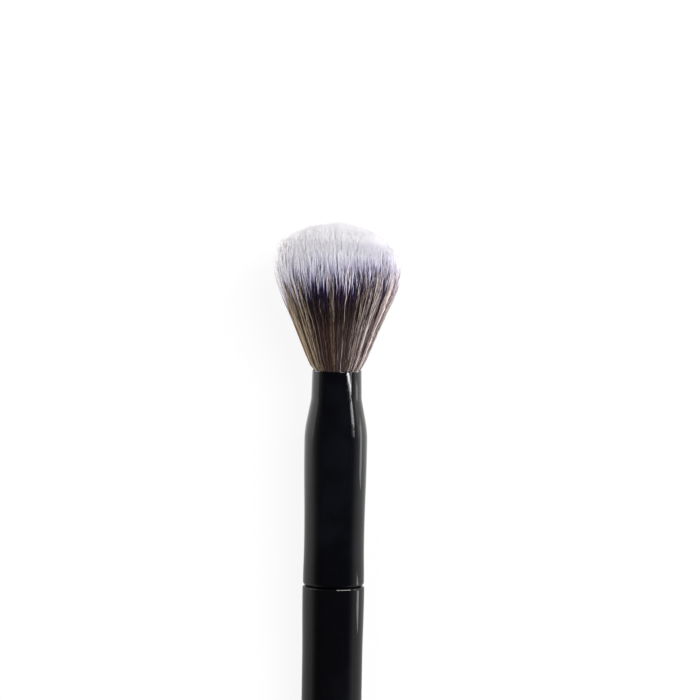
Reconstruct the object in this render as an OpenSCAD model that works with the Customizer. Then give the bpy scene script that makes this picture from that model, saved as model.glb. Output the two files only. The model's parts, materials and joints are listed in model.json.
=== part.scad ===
// Angled blush brush: a flared tuft of two-tone fibres in a drawn metal ferrule on a turned handle.
// It lies on the floor (z = 0) with the tuft towards +Y, and rests on the underside of the tuft,
// which is pressed a little flat there, and on the handle where it begins to taper.
// Lengths along the brush are measured from the ferrule's mouth. Sizes are in millimetres.

/* [Tuft] */
// Length over which the fibres spread, from the mouth up
spread_length = 24; // [18:0.5:30]
// Radius of the tuft where it is widest
spread_radius = 14.1; // [11:0.1:16]
// Share of the spreading length that rounds off into the widest part
spread_rounding = 0.27; // [0.1:0.01:0.5]
// Radius that the fibres gain just past the mouth, where nothing holds them any more
mouth_spring = 0.4; // [0:0.05:0.8]
// Length over which the fibres spring out at the mouth
mouth_spring_length = 0.7; // [0.4:0.1:1.5]
// Length of the outermost fibres past the widest part
rim_length = 1.2; // [0.5:0.1:4]
// Height of the domed crown above the outermost tips
crown_height = 7.8; // [4:0.1:12]
// Slant of the crown, in degrees, falling towards +X
crown_slant = 2.5; // [0:0.5:20]
// Depth of the gaps between the pointed locks of fibre on the crown
lock_depth = 1.3; // [0.4:0.1:1.5]
// Rings of points across the crown, which make the locks
crown_rings = 27; // [15:3:27]
// Rows of points up the side
side_rows = 12; // [6:1:14]
// Depth of the grooves between the locks where the side is widest
groove_depth = 0.45; // [0:0.05:0.6]
// How far a lock's tip stands above or below its neighbours
tip_scatter = 0.25; // [0:0.05:0.3]
// Seed of the uneven lengths
lock_seed = 7; // [1:1:99]
// Length of fibre held inside the ferrule
root_length = 15; // [11:0.5:17]
// Depth to which the brush's weight presses the underside of the tuft flat
pressed_depth = 0.8; // [0.3:0.1:1.2]

/* [Ferrule] */
// Radius of the neck at the mouth
neck_radius = 5.55; // [4.6:0.05:5.8]
// Radius that the neck gains down to the shoulder
neck_growth = 0.14; // [0:0.02:0.3]
// Length of the neck
neck_length = 5.8; // [4:0.2:8]
// Length of the shoulder, down to the bulge
shoulder_length = 10.4; // [7:0.2:14]
// Share of the shoulder that curves out of the neck
shoulder_start = 0.13; // [0.05:0.01:0.5]
// Share of the shoulder that rounds off into the bulge
shoulder_end = 0.45; // [0.05:0.01:0.5]
// Radius of the bulge
bulge_radius = 7.1; // [6.2:0.1:8]
// Length from the bulge down to the waist
waist_drop = 23; // [10:0.2:26]
// Radius of the waist
waist_radius = 6.78; // [6.1:0.02:7]
// Length from the waist down to the foot
foot_drop = 8.8; // [8:0.2:20]
// Radius of the foot
foot_radius = 6.9; // [6.5:0.1:8]
// Radius of the edge rolled in below the foot
edge_roll = 0.9; // [0.6:0.1:1.2]
// Thickness of the ferrule's wall
wall = 0.45; // [0.3:0.05:0.55]

/* [Handle] */
// Radius of the handle's top, at the ferrule
top_radius = 7; // [6.5:0.02:8]
// Rounding of the handle's top edge
top_rounding = 0.5; // [0.2:0.1:0.6]
// Length over which the top narrows to the grip
top_taper = 18; // [6:1:20]
// Radius of the straight grip
grip_radius = 6.8; // [5.6:0.05:7]
// Length of the straight grip
grip_length = 20; // [16:1:40]
// Length of the taper below the grip
taper_length = 50; // [30:1:70]
// Share of the taper that curves out of the grip
taper_start = 0.4; // [0.1:0.05:0.5]
// Share of the taper that rounds off into the end
taper_end = 0.25; // [0.1:0.05:0.5]
// Radius of the handle's rounded end
end_radius = 4; // [3:0.1:5]
// Length of the tenon inside the ferrule
tenon_length = 24; // [14:1:28]
// Bevel at the tenon's end
tenon_bevel = 0.8; // [0.2:0.1:1.5]
// Number of glue grooves turned into the tenon
glue_grooves = 3; // [1:1:4]
// Depth of a glue groove
glue_groove_depth = 0.35; // [0.1:0.05:0.6]
// Width of a glue groove
glue_groove_width = 1.4; // [0.6:0.1:2]
// Distance from one glue groove to the next
glue_groove_pitch = 5; // [3:0.5:6]

/* [Glue] */
// Depth of the glue's upper face below the mouth
glue_depth = 8.6; // [8:0.2:10]
// Length of the glue that holds the fibre roots
glue_length = 10; // [9:0.5:12]

/* [Fits] */
// Gap all round where one piece sits inside another
fit_gap = 0.05; // [0.02:0.01:0.1]

/* [Hidden] */

$fn = 96;
profile_steps = 96; // points down a turned outline
arc_step = 15; // degrees between the points of a small rounding
end_step = 6; // degrees between the points of the handle's rounded end

// depths of the ferrule's features below the mouth
neck_end_radius = neck_radius + neck_growth;
bulge_depth = neck_length + shoulder_length;
waist_depth = bulge_depth + waist_drop;
foot_depth = waist_depth + foot_drop;
ferrule_length = foot_depth + edge_roll;
lip_radius = wall / 2;

// depths of the handle's features below the mouth
top_depth = ferrule_length + fit_gap;
tenon_radius = foot_radius - edge_roll - fit_gap;
tenon_depth = top_depth - tenon_length;
grip_depth = top_depth + top_rounding + top_taper;
taper_depth = grip_depth + grip_length;
end_depth = taper_depth + taper_length;
tail_depth = end_depth + end_radius;

// the tuft's heights above the mouth
root_radius = neck_radius - wall - fit_gap;
rim_station = spread_length + rim_length;
crown_station = rim_station + crown_height;
columns = 6 * crown_rings;
row_growth = 1.3; // rows lie closer together at the mouth, where the outline bends most

function mix(a, b, t) = a + (b - a) * t;

// Share of a rise at share t of its length: a curve over the share a, a straight, a curve over the share b.
function ease(t, a, b) =
    let (slope = 1 / (1 - a / 2 - b / 2))
    t <= 0 ? 0
    : t < a ? slope * t * t / (2 * a)
    : t <= 1 - b ? slope * (t - a / 2)
    : t < 1 ? 1 - slope * (1 - t) * (1 - t) / (2 * b)
    : 1;

// Outer radius of the ferrule at a depth below the mouth.
function ferrule_radius(d) =
    d < neck_length ? mix(neck_radius, neck_end_radius, d / neck_length)
    : d < bulge_depth
        ? mix(neck_end_radius, bulge_radius, ease((d - neck_length) / shoulder_length, shoulder_start, shoulder_end))
    : d < waist_depth ? mix(bulge_radius, waist_radius, ease((d - bulge_depth) / waist_drop, 0.5, 0.5))
    : mix(waist_radius, foot_radius, ease((d - waist_depth) / foot_drop, 0.5, 0.5));

// Points of an arc round [r, z], from one angle to another.
function arc(r, z, radius, from, to, step) =
    let (count = max(1, round(abs(to - from) / step)))
    [for (i = [0:count]) let (a = mix(from, to, i / count)) [r + radius * cos(a), z + radius * sin(a)]];

// Outline of the ferrule's wall between two depths, drawn inwards by inset.
function ferrule_side(from, to, inset) =
    [for (i = [0:profile_steps]) let (d = mix(from, to, i / profile_steps)) [ferrule_radius(d) - inset, -d]];

ferrule_outline = concat(
    arc(neck_radius - lip_radius, -lip_radius, lip_radius, 180 - arc_step, arc_step, arc_step),
    ferrule_side(lip_radius, foot_depth, 0),
    arc(foot_radius - edge_roll, -foot_depth, edge_roll, -arc_step, -90, arc_step),
    arc(foot_radius - edge_roll, -foot_depth, edge_roll - wall, -90, -arc_step, arc_step),
    ferrule_side(foot_depth, lip_radius, wall)
);

// One groove of the tenon, as the points of a shallow hollow.
function glue_groove(d) =
    [for (i = [0:4]) [tenon_radius - glue_groove_depth * sin(45 * i), -d - glue_groove_width * (i - 2) / 4]];

tenon_outline = concat(
    [[0, -tenon_depth], [tenon_radius - tenon_bevel, -tenon_depth], [tenon_radius, -tenon_depth - tenon_bevel]],
    [
        for (i = [1:glue_grooves]) each glue_groove(tenon_depth + tenon_bevel + i * glue_groove_pitch)
    ],
    [[tenon_radius, -top_depth]]
);

handle_outline = concat(
    arc(top_radius - top_rounding, -top_depth - top_rounding, top_rounding, 90, 0, arc_step),
    [for (i = [1:8]) [mix(top_radius, grip_radius, ease(i / 8, 0.5, 0.5)), -mix(grip_depth - top_taper, grip_depth, i / 8)]],
    [
        for (i = [0:24])
            [mix(grip_radius, end_radius, ease(i / 24, taper_start, taper_end)), -mix(taper_depth, end_depth, i / 24)]
    ],
    arc(0, -end_depth, end_radius, -end_step, -90, end_step)
);

// Radius of the tuft's outer fibres at a height above the mouth.
function tuft_radius(s) =
    root_radius + mouth_spring * (1 - exp(-max(s, 0) / mouth_spring_length))
    + (spread_radius - mouth_spring - root_radius) * ease(s / spread_length, 0, spread_rounding);

// The crown's points lie in rings, six more in each. One in three is the tip of a lock, with six gaps round it.
corners = [[1, 0], [0, 1], [-1, 1], [-1, 0], [0, -1], [1, -1], [1, 0]];
function is_tip(k, j) =
    let (side = k == 0 ? 0 : floor(j / k))
    let (place = k * corners[side] + (j - side * k) * (corners[side + 1] - corners[side]))
    let (kind = place.x - place.y)
    kind - 3 * floor(kind / 3) == 0;

unevenness = rands(-1, 1, 3 * crown_rings * (crown_rings + 1) + 1, lock_seed);
function crown_index(k, j) = k == 0 ? 0 : 1 + 3 * k * (k - 1) + j;
function crown_angle(k, j) = k == 0 ? 0 : 60 * j / k;

// Height at which the fibres of one point of the crown end.
function fibre_end(k, j) =
    let (share = k / crown_rings)
    rim_station + crown_height * sqrt(1 - share * share)
    - spread_radius * share * cos(crown_angle(k, j)) * tan(crown_slant)
    - (is_tip(k, j) ? 0 : lock_depth)
    + tip_scatter * unevenness[crown_index(k, j)];

function groove(k, j, s) = is_tip(k, j) || s <= 0 ? 0 : groove_depth * (k / crown_rings) * tuft_radius(s) / spread_radius;

// A point of the fibre bundle: across the tuft, up through it and along the brush.
function bundle_point(k, j, s) =
    let (r = tuft_radius(s) * k / crown_rings - groove(k, j, s))
    [r * cos(crown_angle(k, j)), r * sin(crown_angle(k, j)), s];

// The brush tips down until the first ring of its outline meets the floor.
lower_outline = concat([for (p = ferrule_outline) if (p.x >= bulge_radius) p], handle_outline);
rest_tilt = min([
    for (p = lower_outline)
        let (run = spread_length - p.y, rise = spread_radius - p.x)
        atan2(rise, run) - asin(pressed_depth / norm([run, rise]))
]);
mouth_height = spread_radius * cos(rest_tilt) - pressed_depth - spread_length * sin(rest_tilt);
mouth_y = (tail_depth - crown_station) / 2 * cos(rest_tilt);

// Lays a turned piece, drawn upright with the mouth at z = 0, on the floor.
module laid() {
    translate([0, mouth_y, mouth_height])
        rotate([rest_tilt - 90, 0, 0])
            children();
}

// Lays one point of the tuft in the same way, and keeps it off the floor.
function lay(p) = [
    p.x,
    mouth_y + p.z * cos(rest_tilt) - p.y * sin(rest_tilt),
    max(0, mouth_height + p.z * sin(rest_tilt) + p.y * cos(rest_tilt))
];

module handle() {
    color([0.03, 0.03, 0.035])
        laid()
            rotate_extrude()
                polygon(concat(tenon_outline, handle_outline));
}

module ferrule() {
    color([0.06, 0.06, 0.07])
        laid()
            rotate_extrude()
                polygon(ferrule_outline);
}

// The cured glue fills the ferrule's bore around and below the fibre roots.
module glue_plug() {
    glue_end = min(glue_depth + glue_length, tenon_depth - fit_gap);
    socket_radius = root_radius + fit_gap;
    socket_depth = root_length + fit_gap;
    color([0.75, 0.6, 0.3])
        laid()
            rotate_extrude()
                polygon(concat(
                    [[0, -glue_end], [0, -socket_depth], [socket_radius, -socket_depth], [socket_radius, -glue_depth]],
                    ferrule_side(glue_depth, glue_end, wall + fit_gap)
                ));
}

// The tuft is one bundle: a round root, a fluted flare and a crown of pointed locks.
module tuft() {
    rows = side_rows + 2;
    crown_start = 1 + rows * columns;
    points = concat(
        [lay([0, 0, -root_length])],
        [for (j = [0:columns - 1]) lay(bundle_point(crown_rings, j, -root_length))],
        [
            for (row = [0:side_rows], j = [0:columns - 1])
                lay(bundle_point(crown_rings, j, fibre_end(crown_rings, j) * pow(row / side_rows, row_growth)))
        ],
        [lay(bundle_point(0, 0, fibre_end(0, 0)))],
        [for (k = [1:crown_rings - 1], j = [0:6 * k - 1]) lay(bundle_point(k, j, fibre_end(k, j)))]
    );
    function row_index(row, j) = 1 + row * columns + j % columns;
    function ring_index(k, j) =
        k == crown_rings ? row_index(rows - 1, j) : k == 0 ? crown_start : crown_start + crown_index(k, j % (6 * k));
    faces = concat(
        [for (j = [0:columns - 1]) [0, row_index(0, j), row_index(0, j + 1)]],
        [
            for (row = [0:rows - 2], j = [0:columns - 1])
                each [
                    [row_index(row, j), row_index(row + 1, j), row_index(row, j + 1)],
                    [row_index(row, j + 1), row_index(row + 1, j), row_index(row + 1, j + 1)]
                ]
        ],
        [
            for (k = [1:crown_rings], side = [0:5], i = [0:k - 1])
                each [
                    [ring_index(k, side * k + i), ring_index(k - 1, side * (k - 1) + i), ring_index(k, side * k + i + 1)],
                    if (i < k - 1)
                        [
                            ring_index(k, side * k + i + 1),
                            ring_index(k - 1, side * (k - 1) + i),
                            ring_index(k - 1, side * (k - 1) + i + 1)
                        ]
                ]
        ]
    );
    color([0.42, 0.38, 0.42])
        polyhedron(points = points, faces = faces, convexity = 10);
}

handle();
ferrule();
glue_plug();
tuft();
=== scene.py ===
import bpy
import json
import math
import numpy as np
from mathutils import Matrix, Vector


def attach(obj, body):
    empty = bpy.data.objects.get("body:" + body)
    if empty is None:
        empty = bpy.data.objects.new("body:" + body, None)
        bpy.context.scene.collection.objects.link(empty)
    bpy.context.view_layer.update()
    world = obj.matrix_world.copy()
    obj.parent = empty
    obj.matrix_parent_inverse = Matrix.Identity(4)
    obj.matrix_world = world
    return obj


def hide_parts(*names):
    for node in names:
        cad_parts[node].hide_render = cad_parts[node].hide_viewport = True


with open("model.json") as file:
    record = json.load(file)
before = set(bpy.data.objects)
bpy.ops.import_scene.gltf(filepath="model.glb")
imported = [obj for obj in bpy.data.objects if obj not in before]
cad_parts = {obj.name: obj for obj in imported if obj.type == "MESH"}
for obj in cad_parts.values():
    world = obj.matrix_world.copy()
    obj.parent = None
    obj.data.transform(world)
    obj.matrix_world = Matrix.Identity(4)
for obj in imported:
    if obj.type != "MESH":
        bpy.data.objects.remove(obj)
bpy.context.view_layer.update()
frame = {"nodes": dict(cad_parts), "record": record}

mm = 0.001
fullTurn = 2.0 * math.pi

# The brush's own line, from the grip's mount and the ferrule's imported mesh
gripMount = frame["record"]["mounts"][0]
along = -Vector(gripMount["axis"]).normalized()      # from the handle's end towards the fibre tips
across = Vector((1.0, 0.0, 0.0))
upward = across.cross(along)
gripPoint = Vector(gripMount["pos_m"])


def furthestAlong(nodeName):
    vertices = frame["nodes"][nodeName].data.vertices
    return max((v.co - gripPoint).dot(along) for v in vertices)


mouthPoint = gripPoint + along * furthestAlong("ferrule")
crownTop = furthestAlong("tuft") - furthestAlong("ferrule")  # height of the highest tips above the mouth
print(f"brush line found: mouth at {mouthPoint[:]}, crown {crownTop / mm:.1f} mm above it")


class Wire:                                          # a node's output that can stand in a sum
    def __init__(self, finish, socket):
        self.finish = finish
        self.socket = socket

    def other(self, name):                           # another output of the same node
        return Wire(self.finish, self.socket.node.outputs[name])

    def math(self, operation, *values):
        return self.finish.node("ShaderNodeMath", {"operation": operation}, dict(enumerate(values)))

    def __add__(self, other):
        return self.math("ADD", self, other)

    def __radd__(self, other):
        return self.math("ADD", other, self)

    def __sub__(self, other):
        return self.math("SUBTRACT", self, other)

    def __rsub__(self, other):
        return self.math("SUBTRACT", other, self)

    def __mul__(self, other):
        return self.math("MULTIPLY", self, other)

    def __rmul__(self, other):
        return self.math("MULTIPLY", other, self)

    def __truediv__(self, other):
        return self.math("DIVIDE", self, other)

    def __rtruediv__(self, other):
        return self.math("DIVIDE", other, self)

    def __gt__(self, other):
        return self.math("GREATER_THAN", self, other)

    def __lt__(self, other):
        return self.math("LESS_THAN", self, other)

    def __floor__(self):
        return self.math("FLOOR", self)


class Finish:                                        # a material and the one way to add nodes to it
    def __init__(self, name, surface=None):
        self.material = surface or bpy.data.materials.new(name)
        self.material.use_nodes = True
        self.tree = self.material.node_tree
        self.tree.nodes.clear()

    def node(self, kind, settings=None, sockets=None, out=0):
        made = self.tree.nodes.new(kind)
        for key, value in (settings or {}).items():
            if key == "stops":
                self.setStops(made.color_ramp, value)
            else:
                setattr(made, key, value)
        for key, value in (sockets or {}).items():
            if isinstance(value, Wire):
                self.tree.links.new(value.socket, made.inputs[key])
            else:
                made.inputs[key].default_value = value
        return Wire(self, made.outputs[out]) if len(made.outputs) else None

    def setStops(self, ramp, stops):
        while len(ramp.elements) < len(stops):
            ramp.elements.new(1.0)
        for element, (position, colour) in zip(ramp.elements, stops):
            element.position = position
            element.color = (*colour, 1.0)

    def ramp(self, factor, stops):
        return self.node("ShaderNodeValToRGB", {"stops": stops}, {"Fac": factor})

    def blend(self, factor, colourA, colourB):
        fourA = colourA if isinstance(colourA, Wire) else (*colourA, 1.0)
        fourB = colourB if isinstance(colourB, Wire) else (*colourB, 1.0)
        return self.node("ShaderNodeMix", {"data_type": "RGBA"}, {0: factor, 6: fourA, 7: fourB}, out=2)

    def noise(self, place, scale, detail=2.0, roughness=0.5):
        sockets = {"Vector": place, "Scale": scale, "Detail": detail, "Roughness": roughness}
        return self.node("ShaderNodeTexNoise", {}, sockets)

    def cells(self, place, scale):                   # distance from the nearest of scattered points
        return self.node("ShaderNodeTexVoronoi", {}, {"Vector": place, "Scale": scale})

    def span(self, value, low, high, toLow=0.0, toHigh=1.0):
        sockets = {"Value": value, "From Min": low, "From Max": high, "To Min": toLow, "To Max": toHigh}
        return self.node("ShaderNodeMapRange", {"interpolation_type": "SMOOTHSTEP"}, sockets)

    def place(self):
        return self.node("ShaderNodeTexCoord", out="Object")

    def split(self, vector):                         # its first part; other("Y") gives the second
        return self.node("ShaderNodeSeparateXYZ", {}, {"Vector": vector})

    def stretched(self, place, scale):
        return self.node("ShaderNodeVectorMath", {"operation": "MULTIPLY"}, {0: place, 1: scale})

    def bump(self, height, strength, distance):
        sockets = {"Height": height, "Strength": strength, "Distance": distance}
        return self.node("ShaderNodeBump", {}, sockets)

    def principled(self, sockets):
        shader = self.node("ShaderNodeBsdfPrincipled", {}, sockets)
        self.node("ShaderNodeOutputMaterial", {}, {"Surface": shader})
        return self.material


# Handle: gloss black lacquer, with faint waviness, a little dust and finger haze

handleLook = {
    "black": (0.0016, 0.0016, 0.0022),
    "haze": (0.0035, 0.0035, 0.0045),
    "dust": (0.06, 0.06, 0.065),
    "gloss": 0.045,                                  # roughness where the lacquer is clean
    "hazeGloss": 0.13,                               # roughness where fingers have been
    "hazeSize": 60.0,                                # patches per metre
    "hazeEdges": (0.48, 0.72),                       # noise at which a patch begins and is full
    "dustSize": 900.0,                               # specks per metre
    "dustAmount": 0.035,                             # share of a speck's cell that it fills
    "dustPatches": 150.0,                            # patches per metre that hold the specks
    "dustEdges": (0.55, 0.7),
    "dustCover": 0.6,                                # how far a speck hides the lacquer
    "dustGloss": 0.4,                                # roughness that it adds
    "waveSize": 420.0,                               # ripples per metre
    "waviness": 0.04,
    "waveHeight": 0.2,                               # millimetres
    "ior": 1.5,
}


def makeLacquer():
    look = handleLook
    finish = Finish("handleLacquer")
    place = finish.place()
    haze = finish.noise(place, look["hazeSize"], detail=4.0, roughness=0.6)
    haze = finish.span(haze, *look["hazeEdges"])
    specks = finish.cells(place, look["dustSize"])
    specks = finish.span(specks, look["dustAmount"] * 2, look["dustAmount"])
    dust = specks * finish.span(finish.noise(place, look["dustPatches"]), *look["dustEdges"])
    clean = finish.blend(haze, look["black"], look["haze"])
    roughness = finish.span(haze, 0.0, 1.0, look["gloss"], look["hazeGloss"])
    wave = finish.noise(place, look["waveSize"], detail=3.0, roughness=0.45)
    return finish.principled({
        "Base Color": finish.blend(dust * look["dustCover"], clean, look["dust"]),
        "Roughness": roughness + dust * look["dustGloss"],
        "IOR": look["ior"],
        "Normal": finish.bump(wave, look["waviness"], look["waveHeight"] * mm),
    })


# Ferrule: drawn tube under a gloss black coating, with faint draw lines along it

ferruleLook = {
    "black": (0.0014, 0.0015, 0.0022),
    "sheen": (0.003, 0.0033, 0.0048),
    "sheenSize": 90.0,                               # clouds of sheen per metre
    "sheenEdges": (0.4, 0.7),
    "sheenGloss": 0.02,                              # roughness that they add
    "gloss": 0.04,
    "lineGloss": 0.10,                               # roughness in the draw lines
    "lineSize": (2600.0, 40.0, 2600.0),              # draw lines per metre across and along the brush
    "lineEdges": (0.35, 0.75),
    "lineDepth": 0.03,
    "lineHeight": 0.05,                              # millimetres
    "ior": 1.5,
}


def makeCoating():
    look = ferruleLook
    finish = Finish("ferruleCoating")
    place = finish.place()
    lines = finish.noise(finish.stretched(place, look["lineSize"]), 1.0, detail=3.0, roughness=0.6)
    lineGloss = finish.span(lines, *look["lineEdges"], look["gloss"], look["lineGloss"])
    clouds = finish.span(finish.noise(place, look["sheenSize"], detail=3.0), *look["sheenEdges"])
    return finish.principled({
        "Base Color": finish.blend(clouds, look["black"], look["sheen"]),
        "Roughness": lineGloss + clouds * look["sheenGloss"],
        "IOR": look["ior"],
        "Normal": finish.bump(lines, look["lineDepth"], look["lineHeight"] * mm),
    })


# Cured glue around the fibre roots, hidden inside the ferrule

glueLook = {
    "amber": (0.55, 0.36, 0.12),
    "cloudy": (0.68, 0.52, 0.26),
    "cloudSize": 160.0,                              # clouds per metre
    "cloudEdges": (0.3, 0.7),
    "gloss": (0.12, 0.3),                            # roughness where it is clear and where it is cloudy
    "bubbleSize": 700.0,                             # bubbles per metre
    "bubbleAmount": 0.25,                            # share of a cell that a bubble fills
    "bubbleDepth": 0.3,
    "bubbleHeight": 0.1,                             # millimetres
}


def makeGlue():
    look = glueLook
    finish = Finish("curedGlue")
    place = finish.place()
    clouds = finish.noise(place, look["cloudSize"], detail=3.0)
    bubbles = finish.span(finish.cells(place, look["bubbleSize"]), 0.0, look["bubbleAmount"])
    return finish.principled({
        "Base Color": finish.blend(clouds, look["amber"], look["cloudy"]),
        "Roughness": finish.span(clouds, *look["cloudEdges"], *look["gloss"]),
        "Normal": finish.bump(bubbles, look["bubbleDepth"], look["bubbleHeight"] * mm),
    })


# Fibres: brown at the mouth, violet black below the tips, white at the tips

toneCount = 32                                       # tones of fibre in each hue: the map's columns
columnCount = 2 * toneCount
mapLength = 40.0                                     # millimetres of fibre that the map's height holds

fibreLook = {
    "dye": [                                         # millimetres from the tip and the colour there
        (0.0, (0.94, 0.925, 0.955)),
        (1.6, (0.88, 0.865, 0.93)),
        (3.3, (0.68, 0.655, 0.81)),
        (4.3, (0.42, 0.38, 0.60)),
        (5.3, (0.036, 0.026, 0.078)),
        (8.0, (0.026, 0.017, 0.033)),
        (11.0, (0.030, 0.018, 0.018)),
    ],
    "paleDye": [                                     # the same for pale fibres, which take less violet
        (0.0, (0.94, 0.925, 0.955)),
        (1.6, (0.88, 0.865, 0.915)),
        (3.3, (0.70, 0.67, 0.755)),
        (4.3, (0.46, 0.415, 0.500)),
        (5.3, (0.16, 0.125, 0.150)),
        (8.0, (0.050, 0.036, 0.042)),
        (11.0, (0.045, 0.030, 0.030)),
    ],
    "paleDyeTones": (0.76, 0.88),                    # tones between which it takes the place of the dye
    "umberTones": [                                  # tone of a warm fibre and its lower part's colour
        (0.0, (0.049, 0.025, 0.022)),
        (0.45, (0.072, 0.041, 0.035)),
        (0.70, (0.108, 0.068, 0.053)),
        (0.85, (0.165, 0.107, 0.071)),
        (0.94, (0.330, 0.238, 0.158)),
        (1.0, (0.680, 0.545, 0.410)),
    ],
    "mauveTones": [                                  # the same for the cool fibres
        (0.0, (0.043, 0.025, 0.031)),
        (0.45, (0.065, 0.042, 0.048)),
        (0.70, (0.108, 0.078, 0.080)),
        (0.85, (0.182, 0.138, 0.136)),
        (0.94, (0.375, 0.300, 0.287)),
        (1.0, (0.780, 0.670, 0.640)),
    ],
    "rootFrom": 16.0,                                # millimetres from the tip to the full colour there
    "paleSooner": 10.0,                              # how much nearer the tip it is in the palest fibres
    "soonerTones": (0.7, 1.0),                       # tones between which this comes about
    "paleUndyed": 0.18,                              # share of it by which the dark part is shorter too
    "undyedLength": 1.5,                             # millimetres over which the dark part then ends
    "tipRoughness": 0.55,
    "rootRoughness": 0.34,
    "specular": 0.22,
    "ior": 1.5,
}


def makeFibreFinish():
    look = fibreLook
    finish = Finish("tuftFibre")
    column = finish.split(finish.node("ShaderNodeUVMap", {"uv_map": "OFBake"}))
    height = column.other("Y")
    cool = column > 0.5                              # the cool fibres have the right half of the map
    tone = (math.floor(column * columnCount) - cool * toneCount) / (toneCount - 1)

    def at(length):
        return length / mapLength

    def dyeOf(name):
        return finish.ramp(height, [(at(length), colour) for length, colour in look[name]])

    darkFrom, dyeEnd = look["dye"][-3][0], look["dye"][-1][0]
    dyed = finish.blend(finish.span(tone, *look["paleDyeTones"]), dyeOf("dye"), dyeOf("paleDye"))
    umber, mauve = finish.ramp(tone, look["umberTones"]), finish.ramp(tone, look["mauveTones"])
    sooner = finish.span(tone, *look["soonerTones"]) * at(look["paleSooner"])
    bare = finish.span(height + sooner, at(dyeEnd), at(look["rootFrom"]))
    undyedFrom, undyedTo = at(darkFrom), at(darkFrom + look["undyedLength"])
    undyed = finish.span(height + sooner * look["paleUndyed"], undyedFrom, undyedTo)
    roughness = finish.span(height, 0.0, at(dyeEnd), look["tipRoughness"], look["rootRoughness"])
    return finish.principled({
        "Base Color": finish.blend(bare * undyed, dyed, finish.blend(cool, umber, mauve)),
        "Roughness": roughness,
        "IOR": look["ior"],
        "Specular IOR Level": look["specular"],
    })


# The bundle's shape, the same as the solid that the part's source gives it, in millimetres

bundle = {
    "spreadLength": 24.0,
    "spreadRadius": 14.1,
    "spreadRounding": 0.27,                          # share of the spread's length that rounds off
    "rootRadius": 5.05,
    "mouthSpring": 0.4,                              # how far the fibres spring out at the mouth
    "mouthSpringLength": 0.7,
    "crownHeight": 7.8,
    "crownSlant": 2.5,                               # degrees, falling towards +X
    "rightFall": 2.0,                                # how much lower the crown is trimmed at the right
    "rightFallPower": 4,
    "mouthCrowding": 0.03,                           # share by which fibres press outward at the ferrule
    "crowdingEnd": 0.35,                             # share of a fibre's length at which that ends
    "heldShare": 0.98,                               # of the root radius, inside the ferrule
    "freedShare": 0.03,                              # added to it past the mouth, and again by the tip
    "freedLength": 1.2,
    "flatDepth": 0.45,                               # height over which fibres bend to lie on the floor
    "restHeight": 0.02,                              # of the middle of a fibre that lies on it
}
rimStation = crownTop / mm - bundle["crownHeight"]


def bundleRadius(s):
    rounding = bundle["spreadRounding"]
    slope = 1.0 / (1.0 - rounding / 2.0)
    t = np.clip(s / bundle["spreadLength"], 0.0, 1.0)
    rounded = 1.0 - slope * (1.0 - t) ** 2 / (2.0 * rounding)
    share = np.where(t <= 1.0 - rounding, slope * t, rounded)
    spring = bundle["mouthSpring"] * (1.0 - np.exp(-np.maximum(s, 0.0) / bundle["mouthSpringLength"]))
    spread = bundle["spreadRadius"] - bundle["mouthSpring"] - bundle["rootRadius"]
    return bundle["rootRadius"] + spring + spread * share


def roundPlaces(share, angle):
    return np.stack([share * np.cos(angle), share * np.sin(angle)], axis=1)


def layDown(points):
    # from millimetres across, up and along the brush to the row's frame, kept above the floor
    laid = points @ np.array([across, upward, along]) * mm + np.array(mouthPoint)
    depth = bundle["flatDepth"] * mm
    height = laid[..., 2]
    pressed = depth * np.exp(np.minimum((height - depth) / depth, 0.0))
    laid[..., 2] = np.where(height < depth, pressed, height)
    return laid


def newTuftPiece(name, vertices, blocks, material, uvs=None):
    # each block holds faces with the same number of corners
    corners = np.concatenate([block.ravel() for block in blocks]).astype(np.int32)
    sizes = np.concatenate([np.full(len(block), block.shape[1]) for block in blocks]).astype(np.int32)
    starts = np.concatenate([[0], np.cumsum(sizes)[:-1]]).astype(np.int32)
    mesh = bpy.data.meshes.new(name)
    mesh.vertices.add(len(vertices))
    mesh.vertices.foreach_set("co", vertices.astype(np.float32).ravel())
    mesh.loops.add(len(corners))
    mesh.loops.foreach_set("vertex_index", corners)
    mesh.polygons.add(len(sizes))
    mesh.polygons.foreach_set("loop_start", starts)
    mesh.polygons.foreach_set("loop_total", sizes)
    mesh.polygons.foreach_set("use_smooth", np.ones(len(sizes), bool))
    mesh.update(calc_edges=True)
    if uvs is not None:
        layer = mesh.uv_layers.new(name="OFBake")
        layer.uv.foreach_set("vector", uvs.astype(np.float32).ravel())
    mesh.validate()
    mesh.materials.append(material)
    piece = bpy.data.objects.new(name, mesh)
    bpy.context.scene.collection.objects.link(piece)
    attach(piece, "root")
    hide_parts("tuft")
    return piece


# Locks and, within them, strands: fibres of one group lean together towards their tips and share a tone

grouping = {
    "seed": 11,
    "sectors": 200,                                  # wedges of one tone around the bundle
    "sectorsOnTop": 3.0,                             # how much closer they are above and below
    "locks": 420,
    "lockPull": 0.22,                                # share of the way to the lock's middle
    "lockRelease": 0.7,                              # share of that pull which is gone at the tips
    "lockLength": 0.10,                              # millimetres by which locks differ in length
    "lockBorder": 0.22,                              # and by which their dye's edges differ
    "strands": 2600,
    "strandPullPower": 0.8,
    "strandLength": 0.10,
    "strandBorder": 0.25,
    "waveSpread": 9.0,                               # radians by which the waves of strands differ
    "waveRatio": 0.88,                               # of a wave's second direction to its first
    "waveAtFoot": 0.6,                               # share of its width that a wave has at the mouth
    "toneShares": (0.24, 0.50, 0.26),                # of the strand, the sector and the fibre itself
    "hueShares": (0.6, 0.4),                         # of the strand and the fibre itself
}
groupRandom = np.random.default_rng(grouping["seed"])


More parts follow.
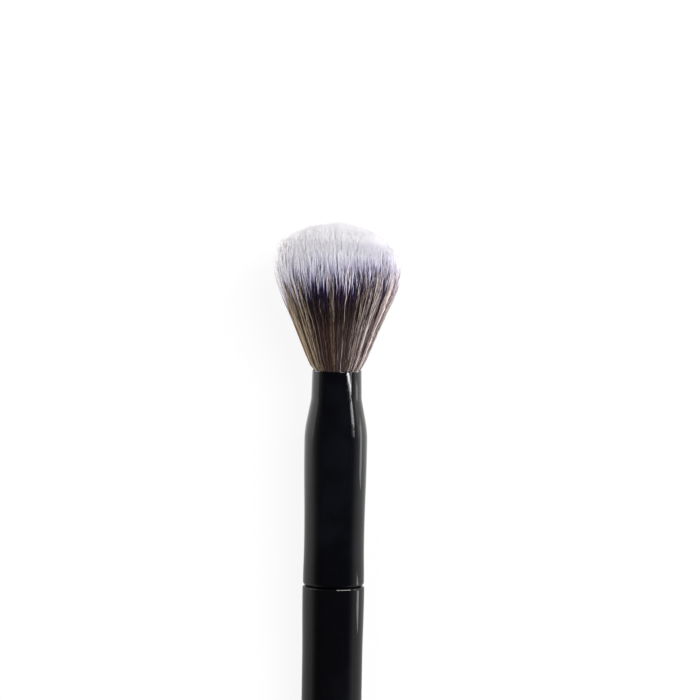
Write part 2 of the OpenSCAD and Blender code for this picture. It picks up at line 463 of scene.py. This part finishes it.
class Groups:                                        # scattered centres over the bundle's round section
    def __init__(self, count):
        share = np.sqrt(groupRandom.random(count))
        self.centres = roundPlaces(share, groupRandom.random(count) * fullTurn)
        self.tone = groupRandom.random(count)
        self.hue = groupRandom.random(count)
        self.length = groupRandom.normal(0.0, 1.0, count)
        self.border = groupRandom.normal(0.0, 1.0, count)

    def nearest(self, places, block=2000):
        best = np.zeros(len(places), int)
        for start in range(0, len(places), block):
            part = places[start:start + block]
            gaps = ((part[:, None, :] - self.centres[None, :, :]) ** 2).sum(axis=2)
            best[start:start + block] = gaps.argmin(axis=1)
        return best


lockGroups = Groups(grouping["locks"])
strandGroups = Groups(grouping["strands"])
sectorTone = groupRandom.random(grouping["sectors"])


def sectorOf(angle):
    sectors, more = grouping["sectors"], grouping["sectorsOnTop"]
    turned = angle + more * (angle / 2.0 - np.sin(2.0 * angle) / 4.0)
    return (turned / (fullTurn * (1.0 + more / 2.0)) * sectors).astype(int) % sectors


# From the left side to the right: the share of pale fibres, whose steep rise towards both sides is painted
# rim highlight, and millimetres by which whiteDown lowers the dye's edge and looseTips shortens the tips
# at random

sideTones = {
    "place": [-1.0, -0.85, -0.67, -0.44, -0.22, 0.0, 0.22, 0.44, 0.67, 0.85, 1.0],
    "paleShareWithRimHighlight": [0.78, 0.47, 0.29, 0.20, 0.08, 0.04, 0.27, 0.24, 0.43, 0.68, 0.90],
    "whiteDown": [2.2, 0.8, 0.1, 0.0, 0.0, 0.0, 0.0, 0.0, 0.0, 0.2, 0.6],
    "looseTips": [1.6, 1.0, 0.5, 0.1, 0.0, 0.0, 0.0, 0.1, 0.4, 0.7, 0.9],
    "darkTop": 0.76,                                 # tone of the palest of the dark fibres
    "paleFoot": 0.88,                                # tone of the darkest of the pale fibres
    "coolHighlightRight": 0.45,                               # share that cool, pinkish hues gain towards the right side: a painted tint of its highlights
    "borderSlant": 1.6,                              # millimetres by which the dye's edge rises there
    "borderReach": 1.25,                             # how far a single fibre's edge moves towards its tip
    "borderBack": 0.8,                               # and how far all the edges are moved back
}


def atSide(name, x):
    return np.interp(x, sideTones["place"], sideTones[name])


# Six sets of fibres: four begin inside the ferrule, those of the crown and the shoulder begin above it

fibreSides = 3
fibreBuild = {
    "thicknessScatter": 0.12,
    "thicknessRange": (0.6, 1.4),
    "taperPower": 0.8,
    "leanPower": 3.0,
    "footThickness": 0.85,                           # share of a fibre's thickness at the mouth
    "footGain": 0.15,                                # and what it gains over footLength past it
    "footLength": 12.0,
    "leastThickness": 0.8,
    "columnEdges": np.array([0.2, 0.4, 0.6, 0.8]),   # of the fibre's sides across its column of the map
    "mapEnds": (0.004, 0.99),
}
fibreSets = {
    "outerFibres": {
        "count": 4200, "seed": 21,
        "shares": (0.83, 0.94),                      # of the bundle's radius, where the fibres stand
        "thinning": 1.0,                             # above 1 there are fewer towards the outside
        "start": -1.0,                               # millimetres past the mouth
        "steps": [0.0, 0.04, 0.075, 0.16, 0.42, 0.68, 0.84, 0.93, 1.0],  # of the length, where it bends
        "radius": 0.072, "tipShare": 0.12, "taperLength": 4.5,
        "rise": 0.5, "tipScatter": 0.85,             # millimetres of the tips over the crown, and scatter
        "pull": 0.4,                                 # share of the way to the strand's middle
        "lean": 0.034, "wave": 0.014,                # of a single fibre, as shares of the bundle's radius
        "waveAlone": 0.4,                            # share of a turn that it differs from its strand
        "curl": 0.45,                                # radians per millimetre
        "borderScatter": 1.0, "whiteLonger": 0.0,    # millimetres, of the dye's edge
        "paleFrom": 0.0,                             # tone of the set's darkest fibres
    },
    "middleFibres": {
        "count": 5600, "seed": 22, "shares": (0.72, 0.90), "thinning": 1.0, "start": -0.6,
        "steps": [0.0, 0.06, 0.30, 0.62, 0.82, 0.93, 1.0],
        "radius": 0.080, "tipShare": 0.12, "taperLength": 3.5, "rise": -0.2, "tipScatter": 0.7,
        "pull": 0.4, "lean": 0.028, "wave": 0.010, "waveAlone": 0.4, "curl": 0.42,
        "borderScatter": 0.9, "whiteLonger": 0.0, "paleFrom": 0.0,
    },
    "crownFibres": {
        "count": 6900, "seed": 23, "shares": (0.0, 0.76), "thinning": 1.0, "start": 12.0,
        "steps": [0.0, 0.4, 0.65, 0.82, 0.93, 1.0],
        "radius": 0.095, "tipShare": 0.32, "taperLength": 3.0, "rise": 0.1, "tipScatter": 0.5,
        "pull": 0.08, "lean": 0.014, "wave": 0.004, "waveAlone": 1.0, "curl": 0.42,
        "borderScatter": 0.5, "whiteLonger": 3.5, "paleFrom": 0.0,
    },
    "shoulderFibres": {
        "count": 6900, "seed": 24, "shares": (0.70, 0.96), "thinning": 0.8, "start": 12.0,
        "steps": [0.0, 0.4, 0.65, 0.82, 0.93, 1.0],
        "radius": 0.075, "tipShare": 0.22, "taperLength": 3.5, "rise": -0.1, "tipScatter": 1.0,
        "pull": 0.15, "lean": 0.036, "wave": 0.009, "waveAlone": 1.0, "curl": 0.42,
        "borderScatter": 1.0, "whiteLonger": 0.0, "paleFrom": 0.0,
    },
    # paler fibres (paleFrom) on the surface: their long light lines are partly pale fibres, partly painted
    # highlights
    "surfaceFibres": {
        "count": 320, "seed": 25, "shares": (0.95, 1.01), "thinning": 1.0, "start": -1.0,
        "steps": [0.0, 0.04, 0.075, 0.12, 0.17, 0.22, 0.28, 0.34, 0.41, 0.49, 0.58, 0.68, 0.79, 0.90, 1.0],
        "radius": 0.068, "tipShare": 0.12, "taperLength": 8.0, "rise": 0.5, "tipScatter": 0.8,
        "pull": 0.2, "lean": 0.03, "wave": 0.022, "waveAlone": 0.4, "curl": 1.0,
        "borderScatter": 0.9, "whiteLonger": 0.0, "paleFrom": 0.4,
    },
    "fringeFibres": {
        "count": 1000, "seed": 26, "shares": (0.92, 1.04), "thinning": 1.9, "start": -1.0,
        "steps": [0.0, 0.04, 0.075, 0.16, 0.42, 0.68, 0.84, 0.93, 1.0],
        "radius": 0.068, "tipShare": 0.12, "taperLength": 5.0, "rise": 0.8, "tipScatter": 1.5,
        "pull": 0.3, "lean": 0.034, "wave": 0.018, "waveAlone": 0.4, "curl": 0.6,
        "borderScatter": 1.0, "whiteLonger": 0.0, "paleFrom": 0.1,
    },
}


class Fibres:                                        # one set at once, in arrays of fibres by steps
    def __init__(self, settings):
        self.settings = settings
        self.count = settings["count"]
        self.rows = len(settings["steps"]) - 1       # the last step is the tip's single point
        self.random = np.random.default_rng(settings["seed"])
        self.scatter()
        self.trim()
        self.bend()

    def scatter(self):
        low, high = self.settings["shares"]
        thinned = self.random.random(self.count) ** self.settings["thinning"]
        self.share = np.sqrt(low ** 2 + (high ** 2 - low ** 2) * thinned)
        self.angle = self.random.random(self.count) * fullTurn
        self.place = roundPlaces(self.share, self.angle)
        self.lock = lockGroups.nearest(self.place)
        self.strand = strandGroups.nearest(self.place)

    def trim(self):
        x = self.place[:, 0]
        height = bundle["crownHeight"] + self.settings["rise"]
        dome = height * np.sqrt(np.clip(1.0 - self.share ** 2, 0.0, 1.0))
        slant = bundle["spreadRadius"] * x * math.tan(math.radians(bundle["crownSlant"]))
        fall = bundle["rightFall"] * np.clip(x, 0.0, 1.0) ** bundle["rightFallPower"]
        ofLock = grouping["lockLength"] * lockGroups.length[self.lock]
        ofStrand = grouping["strandLength"] * strandGroups.length[self.strand]
        short = np.abs(self.random.normal(0.0, self.settings["tipScatter"], self.count))
        loose = np.abs(groupRandom.normal(0.0, 1.0, self.count)) * atSide("looseTips", x)
        self.tip = (rimStation + dome - slant - fall + ofLock + ofStrand - short - loose)[:, None]

    def bend(self):
        settings = self.settings
        start, steps = settings["start"], np.array(settings["steps"])
        self.past = start + (self.tip - start) * steps[None, :]
        past = self.past[:, :, None]                 # millimetres past the mouth at each step
        lift = np.clip(self.past / self.tip, 0.0, 1.0)[:, :, None]
        lean = self.random.normal(0.0, settings["lean"], (self.count, 2))
        alone = self.random.random((self.count, 2)) * fullTurn * settings["waveAlone"]
        wave = strandGroups.hue[self.strand][:, None] * grouping["waveSpread"] + alone
        bend = self.past * settings["curl"]
        turn = [np.sin(bend + wave[:, :1]), np.cos(grouping["waveRatio"] * bend + wave[:, 1:])]
        toLock = (lockGroups.centres[self.lock] - self.place)[:, None, :]
        toStrand = (strandGroups.centres[self.strand] - self.place)[:, None, :]
        atFoot = grouping["waveAtFoot"]
        line = self.place[:, None, :]
        line = line + toLock * (grouping["lockPull"] * (1.0 - grouping["lockRelease"] * lift))
        line = line + toStrand * (settings["pull"] * lift ** grouping["strandPullPower"])
        line = line + lean[:, None, :] * lift ** fibreBuild["leanPower"]
        line = line + np.stack(turn, axis=2) * (settings["wave"] * (atFoot + (1.0 - atFoot) * lift))
        out = np.linalg.norm(line, axis=2, keepdims=True)
        crowding = bundle["mouthCrowding"] * np.clip(1.0 - lift / bundle["crowdingEnd"], 0.0, 1.0)
        freed = bundle["freedShare"] * np.clip(past / bundle["freedLength"], 0.0, 1.0)
        held = bundle["heldShare"] + freed + bundle["freedShare"] * lift  # clear of the ferrule's wall
        line = line * (1.0 + crowding) * np.minimum(1.0, held / np.maximum(out, 1e-6))
        self.middle = layDown(np.concatenate([line * bundleRadius(past), past], axis=2))
        self.middle[..., 2] = np.maximum(self.middle[..., 2], bundle["restHeight"] * mm)

    def widths(self):
        build, tipShare, taperLength = fibreBuild, self.settings["tipShare"], self.settings["taperLength"]
        scatter = 1.0 + self.random.normal(0.0, build["thicknessScatter"], (self.count, 1))
        thick = self.settings["radius"] * scatter.clip(*build["thicknessRange"])
        taper = np.clip((self.tip - self.past) / taperLength, 0.0, 1.0) ** build["taperPower"]
        atFoot = build["footThickness"] + build["footGain"] * self.past / build["footLength"]
        atFoot = atFoot.clip(build["leastThickness"], 1.0)
        return thick * (tipShare + (1.0 - tipShare) * taper) * atFoot * mm

    def vertices(self):
        ahead = np.gradient(self.middle, axis=1)
        ahead /= np.linalg.norm(ahead, axis=2, keepdims=True)
        anyWay = self.random.normal(0.0, 1.0, (self.count, 1, 3))
        side = np.cross(ahead, anyWay)
        side /= np.linalg.norm(side, axis=2, keepdims=True)
        other = np.cross(ahead, side)
        width = self.widths()[:, :, None]
        corners = []
        for k in range(fibreSides):
            a = math.radians(360.0 * k / fibreSides)
            corners.append(self.middle + (side * math.cos(a) + other * math.sin(a)) * width)
        rings = np.stack(corners, axis=2)[:, :self.rows].reshape(self.count, self.rows * fibreSides, 3)
        vertices = np.concatenate([rings, self.middle[:, self.rows:]], axis=1).reshape(-1, 3)
        vertices[:, 2] = np.maximum(vertices[:, 2], 0.0)
        return vertices

    def faces(self):                                 # quads along the fibre, triangles at its ends
        quad = []
        for foot in range(0, (self.rows - 1) * fibreSides, fibreSides):
            for k in range(fibreSides):
                nextK = (k + 1) % fibreSides
                quad.append([foot + k, foot + nextK, foot + fibreSides + nextK, foot + fibreSides + k])
        last = (self.rows - 1) * fibreSides
        triangle = [[last + k, last + (k + 1) % fibreSides, last + fibreSides] for k in range(fibreSides)]
        triangle.append([2, 1, 0])
        first = (np.arange(self.count) * (self.rows * fibreSides + 1))[:, None, None]
        quads = (np.array(quad)[None] + first).reshape(-1, 4)
        triangles = (np.array(triangle)[None] + first).reshape(-1, 3)
        return quads, triangles

    def columns(self):                               # of the map, one for each tone in each hue
        x = self.place[:, 0]
        ofStrand, ofSector, ofFibre = grouping["toneShares"]
        tone = ofStrand * strandGroups.tone[self.strand] + ofSector * sectorTone[sectorOf(self.angle)]
        tone = tone + ofFibre * self.random.random(self.count)
        paleFrom = self.settings["paleFrom"]
        tone = paleFrom + (1.0 - paleFrom) * np.argsort(np.argsort(tone)) / self.count
        # painted rim highlights: more pale fibres towards both sides, and cool pinkish hues towards the
        # right
        dark = 1.0 - atSide("paleShareWithRimHighlight", x)
        paleFoot = sideTones["paleFoot"]
        paleTone = paleFoot + (1.0 - paleFoot) * (tone - dark) / (1.0 - dark)
        tone = np.where(tone > dark, paleTone, sideTones["darkTop"] * tone / dark)
        ofStrand, ofFibre = grouping["hueShares"]
        hue = ofStrand * strandGroups.hue[self.strand] + ofFibre * self.random.random(self.count)
        cool = hue > 0.5 - sideTones["coolHighlightRight"] * x
        return np.floor(np.clip(tone, 0.0, 0.999) * toneCount) + cool * toneCount

    def borders(self):                               # millimetres by which the dye's edge is moved up
        x = self.place[:, 0]
        scatter = sideTones["borderReach"] * np.abs(self.random.normal(0.0, 1.0, self.count))
        return (
            sideTones["borderSlant"] * x - atSide("whiteDown", x) - self.settings["whiteLonger"]
            + self.settings["borderScatter"] * (scatter - sideTones["borderBack"])
            + grouping["lockBorder"] * lockGroups.border[self.lock]
            + grouping["strandBorder"] * strandGroups.border[self.strand]
        )

    def uvs(self):                                   # across the map by tone, up it from the tip
        edge = (self.columns()[:, None] + fibreBuild["columnEdges"][None, :]) / columnCount
        height = (self.tip - self.past + self.borders()[:, None]) / mapLength
        height = np.clip(height, *fibreBuild["mapEnds"])

        def corner(row, k):
            return np.stack([edge[:, k], height[:, row]], axis=1)

        quad, triangle = [], []
        for row in range(self.rows - 1):
            for k in range(fibreSides):
                lower = [corner(row, k), corner(row, k + 1)]
                upper = [corner(row + 1, k + 1), corner(row + 1, k)]
                quad.append(np.stack(lower + upper, axis=1))
        for k in range(fibreSides):
            atTip = [corner(self.rows - 1, k), corner(self.rows - 1, k + 1), corner(self.rows, k)]
            triangle.append(np.stack(atTip, axis=1))
        triangle.append(np.stack([corner(0, 0), corner(0, 2), corner(1, 1)], axis=1))
        return np.concatenate([np.stack(part, axis=1).reshape(-1, 2) for part in (quad, triangle)])


def makeFibres(name, settings, material):
    fibres = Fibres(settings)
    vertices, faces, uvs = fibres.vertices(), fibres.faces(), fibres.uvs()
    newTuftPiece(name, vertices, faces, material, uvs)
    print(f"{name}: {settings['count']} fibres, {len(faces[0]) * 2 + len(faces[1])} triangles")


# Core: a dark closed body inside the bundle, which keeps light from passing between the fibres; its dark
# sides are partly the dye of the fibres inside and partly painted shade between them

coreShape = {
    "share": 0.73,                                   # of the bundle's radius
    "start": -2.0,                                   # millimetres past the mouth
    "below": 6.5,                                    # millimetres under the crown
    "sides": 96, "rows": 18, "rings": 8,
    "flutes": 24, "fluteDepth": 0.02,
}
coreLook = {
    # dark sides: partly the inner fibres' dye, partly painted shade
    "side": [(0.012, 0.009, 0.014), (0.035, 0.024, 0.024)],
    "top": [(0.52, 0.50, 0.60), (0.84, 0.82, 0.88)],
    "streakSize": (2200.0, 60.0, 2200.0),            # streaks per metre across and along the brush
    "streakEdges": (0.4, 0.65),
    "roughness": 0.8,
    "streakDepth": 0.4,
    "streakHeight": 0.2,                             # millimetres
}


def makeCoreFinish(name, part):
    look = coreLook
    finish = Finish(name)
    place = finish.stretched(finish.place(), look["streakSize"])
    lines = finish.noise(place, 1.0, detail=3.0, roughness=0.6)
    return finish.principled({
        "Base Color": finish.blend(finish.span(lines, *look["streakEdges"]), *look[part]),
        "Roughness": look["roughness"],
        "Normal": finish.bump(lines, look["streakDepth"], look["streakHeight"] * mm),
    })


def makeCore():
    shape = coreShape
    sides = shape["sides"]
    turn = np.arange(sides) * fullTurn / sides
    flute = 1.0 + shape["fluteDepth"] * np.cos(turn * shape["flutes"])

    def topAt(share):
        return rimStation + bundle["crownHeight"] * math.sqrt(max(0.0, 1.0 - share ** 2)) - shape["below"]

    edge = topAt(shape["share"])
    rings = []                                       # share of the radius, and millimetres past the mouth
    for row in range(shape["rows"] + 1):
        rings.append((shape["share"], shape["start"] + (edge - shape["start"]) * (row / shape["rows"])))
    for ring in range(1, shape["rings"]):
        share = shape["share"] * (1.0 - ring / shape["rings"])
        rings.append((share, topAt(share)))
    points = [[0.0, 0.0, shape["start"]]]
    for share, past in rings:
        radii = share * bundleRadius(np.array(past)) * flute
        points += [[radius * math.cos(a), radius * math.sin(a), past] for radius, a in zip(radii, turn)]
    points.append([0.0, 0.0, topAt(0.0)])

    k = np.arange(sides)
    nextK = (k + 1) % sides
    feet = 1 + np.arange(len(rings) - 1)[:, None] * sides
    heads = feet + sides
    last = 1 + (len(rings) - 1) * sides
    underside = np.stack([0 * k, 1 + nextK, 1 + k], axis=1)
    wall = np.stack([feet + k, feet + nextK, heads + nextK, heads + k], axis=2).reshape(-1, 4)
    middle = np.stack([last + k, last + nextK, 0 * k + len(points) - 1], axis=1)
    shade, white = makeCoreFinish("tuftShade", "side"), makeCoreFinish("tuftWhite", "top")
    piece = newTuftPiece("tuftCore", layDown(np.array(points)), (underside, wall, middle), shade)
    piece.data.materials.append(white)
    sideFaces = sides * (shape["rows"] + 1)
    for face in piece.data.polygons:
        face.material_index = int(face.index >= sideFaces)
    print(f"tuftCore: {len(piece.data.polygons)} faces")


def dress(nodeName, material):
    mesh = frame["nodes"][nodeName].data
    mesh.materials.clear()
    mesh.materials.append(material)


dress("handle", makeLacquer())
dress("ferrule", makeCoating())
dress("glue_plug", makeGlue())
print("handle, ferrule and glue finished")

fibreFinish = makeFibreFinish()
makeCore()
for setName, setValues in fibreSets.items():
    makeFibres(setName, setValues, fibreFinish)


# Studio: a white floor, a pale horizon under a dark ceiling, soft lamps

studio = {
    "floorSize": 12.0,
    "floorWhite": 0.92,
    "cameraWhite": 0.88,                             # share of the floor's white that takes no shadow
    "mirroredShare": 0.90,                           # the same for reflections
    "mirroredPaintedShade": [                                # metres along the brush, and the white mirrored there: painted shade, darker towards the handle
        (-0.045, 0.30), (-0.010, 0.42), (0.018, 0.55), (0.045, 1.1),
    ],
    "skyLeft": [                                     # sine of the height above the horizon, and the colour
        (0.0, (0.50, 0.50, 0.50)),
        (0.06, (0.36, 0.36, 0.33)),
        (0.20, (0.20, 0.20, 0.15)),
        (0.36, (0.07, 0.07, 0.06)),
        (0.55, (0.025, 0.025, 0.030)),
        (1.0, (0.025, 0.025, 0.034)),
    ],
    "skyRight": [
        (0.0, (0.55, 0.55, 0.56)),
        (0.06, (0.40, 0.42, 0.43)),
        (0.20, (0.24, 0.26, 0.27)),
        (0.36, (0.08, 0.09, 0.10)),
        (0.55, (0.025, 0.025, 0.034)),
        (1.0, (0.025, 0.025, 0.034)),
    ],
    "skyMiddle": (-0.3, 0.3),                        # where the left side turns into the right one
}


def makeFloor():
    half = studio["floorSize"] / 2.0
    points = [(-half, -half, 0.0), (half, -half, 0.0), (half, half, 0.0), (-half, half, 0.0)]
    mesh = bpy.data.meshes.new("studioFloor")
    mesh.from_pydata(points, [], [(0, 1, 2, 3)])
    floor = bpy.data.objects.new("studioFloor", mesh)
    bpy.context.scene.collection.objects.link(floor)
    finish = Finish("floorWhite")
    path = finish.node("ShaderNodeLightPath")
    mirrored = path.other("Is Glossy Ray") + path.other("Is Transmission Ray")
    seen = path.other("Is Camera Ray") * studio["cameraWhite"] + mirrored * studio["mirroredShare"]
    # painted shade in reflections: the mirrored white is dimmed along the brush, darkest by the handle
    lengthwise = finish.split(finish.place()).other("Y")
    first, last = studio["mirroredPaintedShade"][0][0], studio["mirroredPaintedShade"][-1][0]
    tones = [((y - first) / (last - first), (tone, tone, tone)) for y, tone in studio["mirroredPaintedShade"]]
    paintedMirrorShade = finish.ramp((lengthwise - first) / (last - first), tones)
    shown = finish.blend(mirrored, (1.0, 1.0, 1.0), paintedMirrorShade)
    white = (studio["floorWhite"],) * 3 + (1.0,)
    diffuse = finish.node("ShaderNodeBsdfDiffuse", {}, {"Color": white})
    glow = finish.node("ShaderNodeEmission", {}, {"Color": shown, "Strength": 1.0})
    surface = finish.node("ShaderNodeMixShader", {}, {0: seen, 1: diffuse, 2: glow})
    finish.node("ShaderNodeOutputMaterial", {}, {"Surface": surface})
    mesh.materials.append(finish.material)


def makeWorld():
    world = bpy.data.worlds.new("studioWorld")
    bpy.context.scene.world = world
    finish = Finish("studioWorld", world)
    sideways = finish.split(finish.node("ShaderNodeTexCoord", out="Generated"))
    height = sideways.other("Z")
    left, right = finish.ramp(height, studio["skyLeft"]), finish.ramp(height, studio["skyRight"])
    colour = finish.blend(finish.span(sideways, *studio["skyMiddle"]), left, right)
    background = finish.node("ShaderNodeBackground", {}, {"Color": colour, "Strength": 1.0})
    finish.node("ShaderNodeOutputWorld", {}, {"Surface": background})


def standAt(thing, place, right, ahead):
    turned = Matrix((right, right.cross(ahead), -ahead)).transposed()
    thing.matrix_world = Matrix.Translation(place) @ turned.to_4x4()
    bpy.context.scene.collection.objects.link(thing)


def makeLamp(name, place, aim, size, radiance, colour=(1.0, 1.0, 1.0), mirrored=True, lights=True,
             turn=(0.0, 1.0, 0.0), beam=None):
    data = bpy.data.lights.new(name, "AREA")
    data.shape = "RECTANGLE"
    data.size, data.size_y = size
    data.energy = radiance * math.pi * size[0] * size[1]
    if beam:                                         # degrees across, with the same radiance in its middle
        half = math.radians(beam) / 2.0
        data.spread = 2.0 * half
        data.energy *= (math.tan(half) - half) / math.tan(half)
    data.color = colour
    lamp = bpy.data.objects.new(name, data)
    lamp.visible_camera = False
    lamp.visible_glossy = mirrored
    lamp.visible_diffuse = lights
    ahead = (Vector(aim) - Vector(place)).normalized()
    standAt(lamp, place, ahead.cross(Vector(turn)).normalized(), ahead)


# Each lamp: its place, what it faces, its size in metres and its radiance. Gloss mirrors it and it lights
# what isn't gloss, unless the one or the other is set to False.

lamps = {
    "keyLamp": {
        "place": (0.75, 0.45, 1.05), "aim": (0.0, 0.06, 0.0), "size": (1.2, 1.2), "radiance": 6.4,
        "mirrored": False,
    },
    "fillLamp": {
        "place": (-0.85, 0.1, 0.95), "aim": (0.0, 0.06, 0.0), "size": (1.2, 1.2), "radiance": 2.1,
        "mirrored": False,
    },
    "headLamp": {
        "place": (0.50, 0.85, 0.45), "aim": (0.0, 0.0, 0.0), "size": (1.0, 0.55), "radiance": 10.0,
        "lights": False,
    },
}


# Lamps beside the brush, which draw the slanted streak down the neck and over the shoulder. The ends of
# a piece are degrees above the side and millimetres past the mouth. The ends of a chain are degrees, where
# the ferrule mirrors the lamp, and how far past that place the lamp stands.

streak = {
    "distance": 0.30,                                # metres from the brush's line to the pieces
    "pieces": [
        {"from": (24.0, -11.0), "to": (21.0, 42.0), "width": 0.064, "radiance": 0.9},
        {"from": (21.0, 42.0), "to": (18.5, 76.0), "width": 0.064, "radiance": 4.3},
        {"from": (18.5, 76.0), "to": (15.0, 110.0), "width": 0.070, "radiance": 5.2},
    ],
    "chains": {
        "neckLamp": {
            "from": (44.0, 0.4, -5.5), "to": (21.5, -5.9, -5.5), "lamps": 12,
            "radiance": (42.0, 38.0), "beam": 4.5,
        },
        "shoulderLamp": {
            "from": (21.5, -5.9, -5.5), "to": (18.0, -7.2, 50.0), "lamps": 6,
            "radiance": (38.0, 26.0), "beam": 7.6,
        },
    },
    "chainDistance": 0.15,                           # metres from it to the chains
    "chainWidth": 0.0022,
    "chainOverlap": 1.08,                            # of a lamp's length to its share of the chain
    "chainRadius": 5.4,                              # millimetres, of the ferrule where it mirrors them
}


def besideMouth(degrees, pastMouth, distance=streak["distance"]):
    a = math.radians(degrees)
    return mouthPoint + (across * math.cos(a) + upward * math.sin(a)) * distance + along * pastMouth * mm


def lightChain(name, chain):
    # short lamps in a row, each with a narrow beam onto the spot of the ferrule that mirrors it
    count = chain["lamps"]
    first, last = np.array(chain["from"]), np.array(chain["to"])
    distance = streak["chainDistance"]
    for k in range(count):
        ends = [(first * (1.0 - j / count) + last * j / count).tolist() for j in (k, k + 0.5, k + 1)]
        near, middle, far = [besideMouth(degrees, spot + past, distance) for degrees, spot, past in ends]
        degrees, spot = ends[1][:2]
        halfWay = 45.0 + degrees / 2.0               # from the lamp to straight up, where the view is
        aim = besideMouth(halfWay, spot, streak["chainRadius"] * mm)
        share = (k + 0.5) / count
        radiance = chain["radiance"][0] * (1.0 - share) + chain["radiance"][1] * share
        size = (streak["chainWidth"], (far - near).length * streak["chainOverlap"])
        turn, beam = far - near, chain["beam"]
        makeLamp(f"{name}{k}", middle, aim, size, radiance, lights=False, turn=turn, beam=beam)


def lightStreak():
    for number, values in enumerate(streak["pieces"]):
        near, far = besideMouth(*values["from"]), besideMouth(*values["to"])
        middle = (near + far) / 2.0
        aim = mouthPoint + along * (middle - mouthPoint).dot(along)
        size, radiance = (values["width"], (far - near).length), values["radiance"]
        makeLamp(f"streakLamp{number}", middle, aim, size, radiance, lights=False, turn=far - near)
    for name, chain in streak["chains"].items():
        lightChain(name, chain)


# Strips that lie beside the brush, facing up: place and size over the floor, and radiance

rimHeight = 0.001                                    # metres over the floor
rims = {
    "rightTuft": {
        "place": (0.034, 0.086), "size": (0.036, 0.052), "radiance": 7.5, "colour": (1.0, 0.96, 0.96),
    },
    "leftTuft": {
        "place": (-0.034, 0.086), "size": (0.036, 0.052), "radiance": 5.0, "colour": (1.0, 0.94, 0.86),
    },
    "rightBulge": {
        "place": (0.058, 0.036), "size": (0.040, 0.026), "radiance": 2.0, "colour": (1.0, 0.96, 0.98),
    },
    "rightSeam": {
        "place": (0.058, -0.004), "size": (0.044, 0.012), "radiance": 2.6, "colour": (1.0, 0.98, 1.0),
    },
}


def lightRims():
    for name, values in rims.items():
        x, y = values["place"]
        place, aim = (x, y, rimHeight), (x, y, 1.0)
        makeLamp(name + "Rim", place, aim, values["size"], values["radiance"], values["colour"])


makeFloor()
makeWorld()
for lampName, lampValues in lamps.items():
    makeLamp(lampName, **lampValues)
lightStreak()
lightRims()
print("studio lit")


# Camera: above the lying brush, where the photograph's stands in front of the upright one

cameraView = {
    "stationMm": 98.0,                               # how far past the mouth the camera stands
    "distanceMm": 1122.0,                            # how far it stands from the brush's line
    "lookAlongMm": 4.5,                              # the point it looks at, past the mouth
    "lookAcrossMm": 2.86,
    "widthMm": 157.5,                                # width of the view at that point
    "leanDegrees": 0.96,                             # how far the tuft leans to the right in the view
    "sensorMm": 36.0,
    "clip": (0.05, 40.0),
}


def makeCamera():
    view = cameraView
    data = bpy.data.cameras.new("viewCamera")
    camera = bpy.data.objects.new("viewCamera", data)
    stand = mouthPoint + (along * view["stationMm"] + upward * view["distanceMm"]) * mm
    target = mouthPoint + (along * view["lookAlongMm"] + across * view["lookAcrossMm"]) * mm
    lean = math.radians(view["leanDegrees"])
    head = along * math.cos(lean) - across * math.sin(lean)
    ahead = (target - stand).normalized()
    standAt(camera, stand, ahead.cross(head).normalized(), ahead)
    bpy.context.scene.camera = camera
    data.sensor_width = view["sensorMm"]
    data.lens = data.sensor_width * (target - stand).length / (view["widthMm"] * mm)
    data.clip_start, data.clip_end = view["clip"]


makeCamera()
bpy.context.scene.view_settings.view_transform = "Standard"
